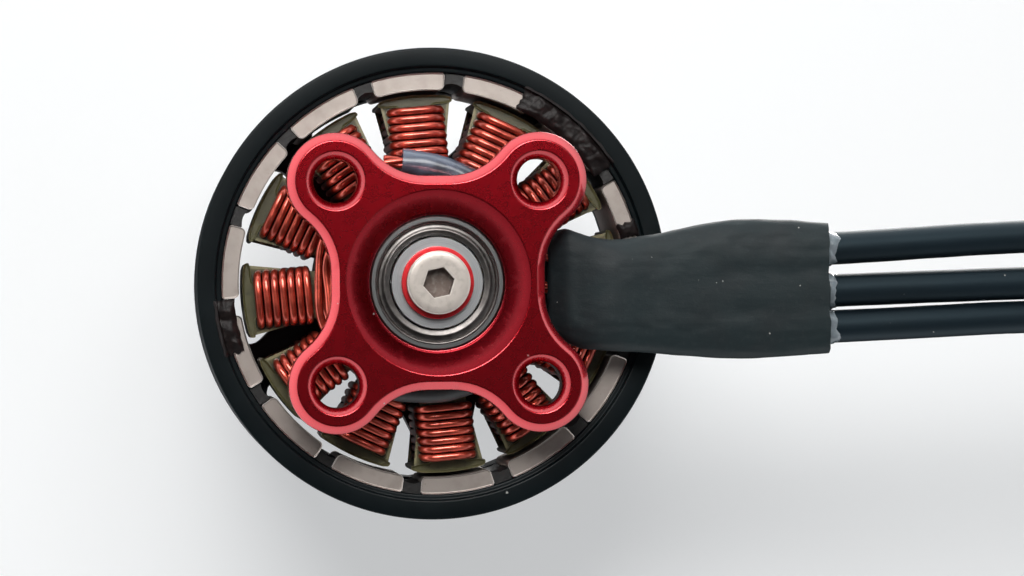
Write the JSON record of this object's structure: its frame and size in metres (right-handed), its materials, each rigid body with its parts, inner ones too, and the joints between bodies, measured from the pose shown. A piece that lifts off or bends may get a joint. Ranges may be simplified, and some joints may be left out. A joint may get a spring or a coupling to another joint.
{
  "type": "brushless outrunner motor",
  "caption": "Small brushless outrunner motor: red star-armed base, wound stator, black magnet bell on ball bearings, propeller post and side leads.",
  "frame": {"origin": "centre of the mounting face, on the motor axis", "axes": "+Z along the shaft towards the propeller, +X along the leads"},
  "size_m": [0.0741, 0.0282, 0.028],
  "materials": {
    "red_anodised": "satin red anodised",
    "black_anodised": "satin black anodised",
    "black_steel": "satin black coated steel",
    "olive_coat": "epoxy powder coat over laminated steel",
    "enamelled_copper": "gloss enamel over copper",
    "tinned_copper": "tinned strands",
    "solder": "satin solder",
    "sleeve_gloss": "gloss dark sleeve",
    "sleeve_matt": "matt dark sleeve",
    "heat_shrink": "matt dark grey polyolefin",
    "silicone": "satin black silicone",
    "clear_adhesive": "milky hot-melt adhesive",
    "bearing_steel": "ground and polished",
    "shield_steel": "pressed steel",
    "cage_steel": "pressed steel",
    "magnet_nickel": "nickel plated",
    "black_epoxy": "matt black filler",
    "putty": "rough two-part putty",
    "shaft_steel": "ground steel",
    "screw_nickel": "nickel plated",
    "red_washer": "red anodised",
    "brass_shim": "rolled brass"
  },
  "bodies": {
    "stator": {"motor_base": "red_anodised", "stator_core": "olive_coat", "phase_a_coils": "enamelled_copper", "phase_b_coils": "enamelled_copper", "phase_c_coils": "enamelled_copper", "winding_crossovers": "enamelled_copper", "phase_tails": "enamelled_copper", "upper_sleeve": "sleeve_gloss", "lower_sleeve": "sleeve_matt", "solder_joints": "solder", "lead_conductors": "tinned_copper", "lead_insulation_a": "silicone", "lead_insulation_b": "silicone", "lead_insulation_c": "silicone", "lead_heat_shrink": "heat_shrink", "lead_adhesive": "clear_adhesive", "lower_bearing_outer_race": "bearing_steel", "lower_bearing_shields": "shield_steel", "upper_bearing_outer_race": "bearing_steel", "upper_bearing_shields": "shield_steel"},
    "rotor": {"bell_cap": "black_anodised", "flux_ring": "black_steel", "magnets": "magnet_nickel", "magnet_adhesive": "black_epoxy", "balance_putty": "putty", "shaft": "shaft_steel", "shaft_screw": "screw_nickel", "retaining_washer": "red_washer", "bell_shim": "brass_shim", "lower_bearing_inner_race": "bearing_steel", "upper_bearing_inner_race": "bearing_steel"},
    "lower_cage": {"lower_bearing_cage": "cage_steel", "lower_bearing_balls": "bearing_steel"},
    "upper_cage": {"upper_bearing_cage": "cage_steel", "upper_bearing_balls": "bearing_steel"}
  },
  "joints": [
    {"name": "rotor_spin", "type": "hinge", "parent": "stator", "child": "rotor", "pos_m": [0, 0, 0], "axis": [0, 0, 1], "continuous": true},
    {"name": "lower_cage_spin", "type": "hinge", "parent": "stator", "child": "lower_cage", "pos_m": [0, 0, 0.0027], "axis": [0, 0, 1], "continuous": true},
    {"name": "upper_cage_spin", "type": "hinge", "parent": "stator", "child": "upper_cage", "pos_m": [0, 0, 0.0102], "axis": [0, 0, 1], "continuous": true}
  ],
  "couplings": [
    {"joint": "lower_cage_spin", "follows": "rotor_spin", "ratio": 0.4008},
    {"joint": "upper_cage_spin", "follows": "rotor_spin", "ratio": 0.4008}
  ]
}
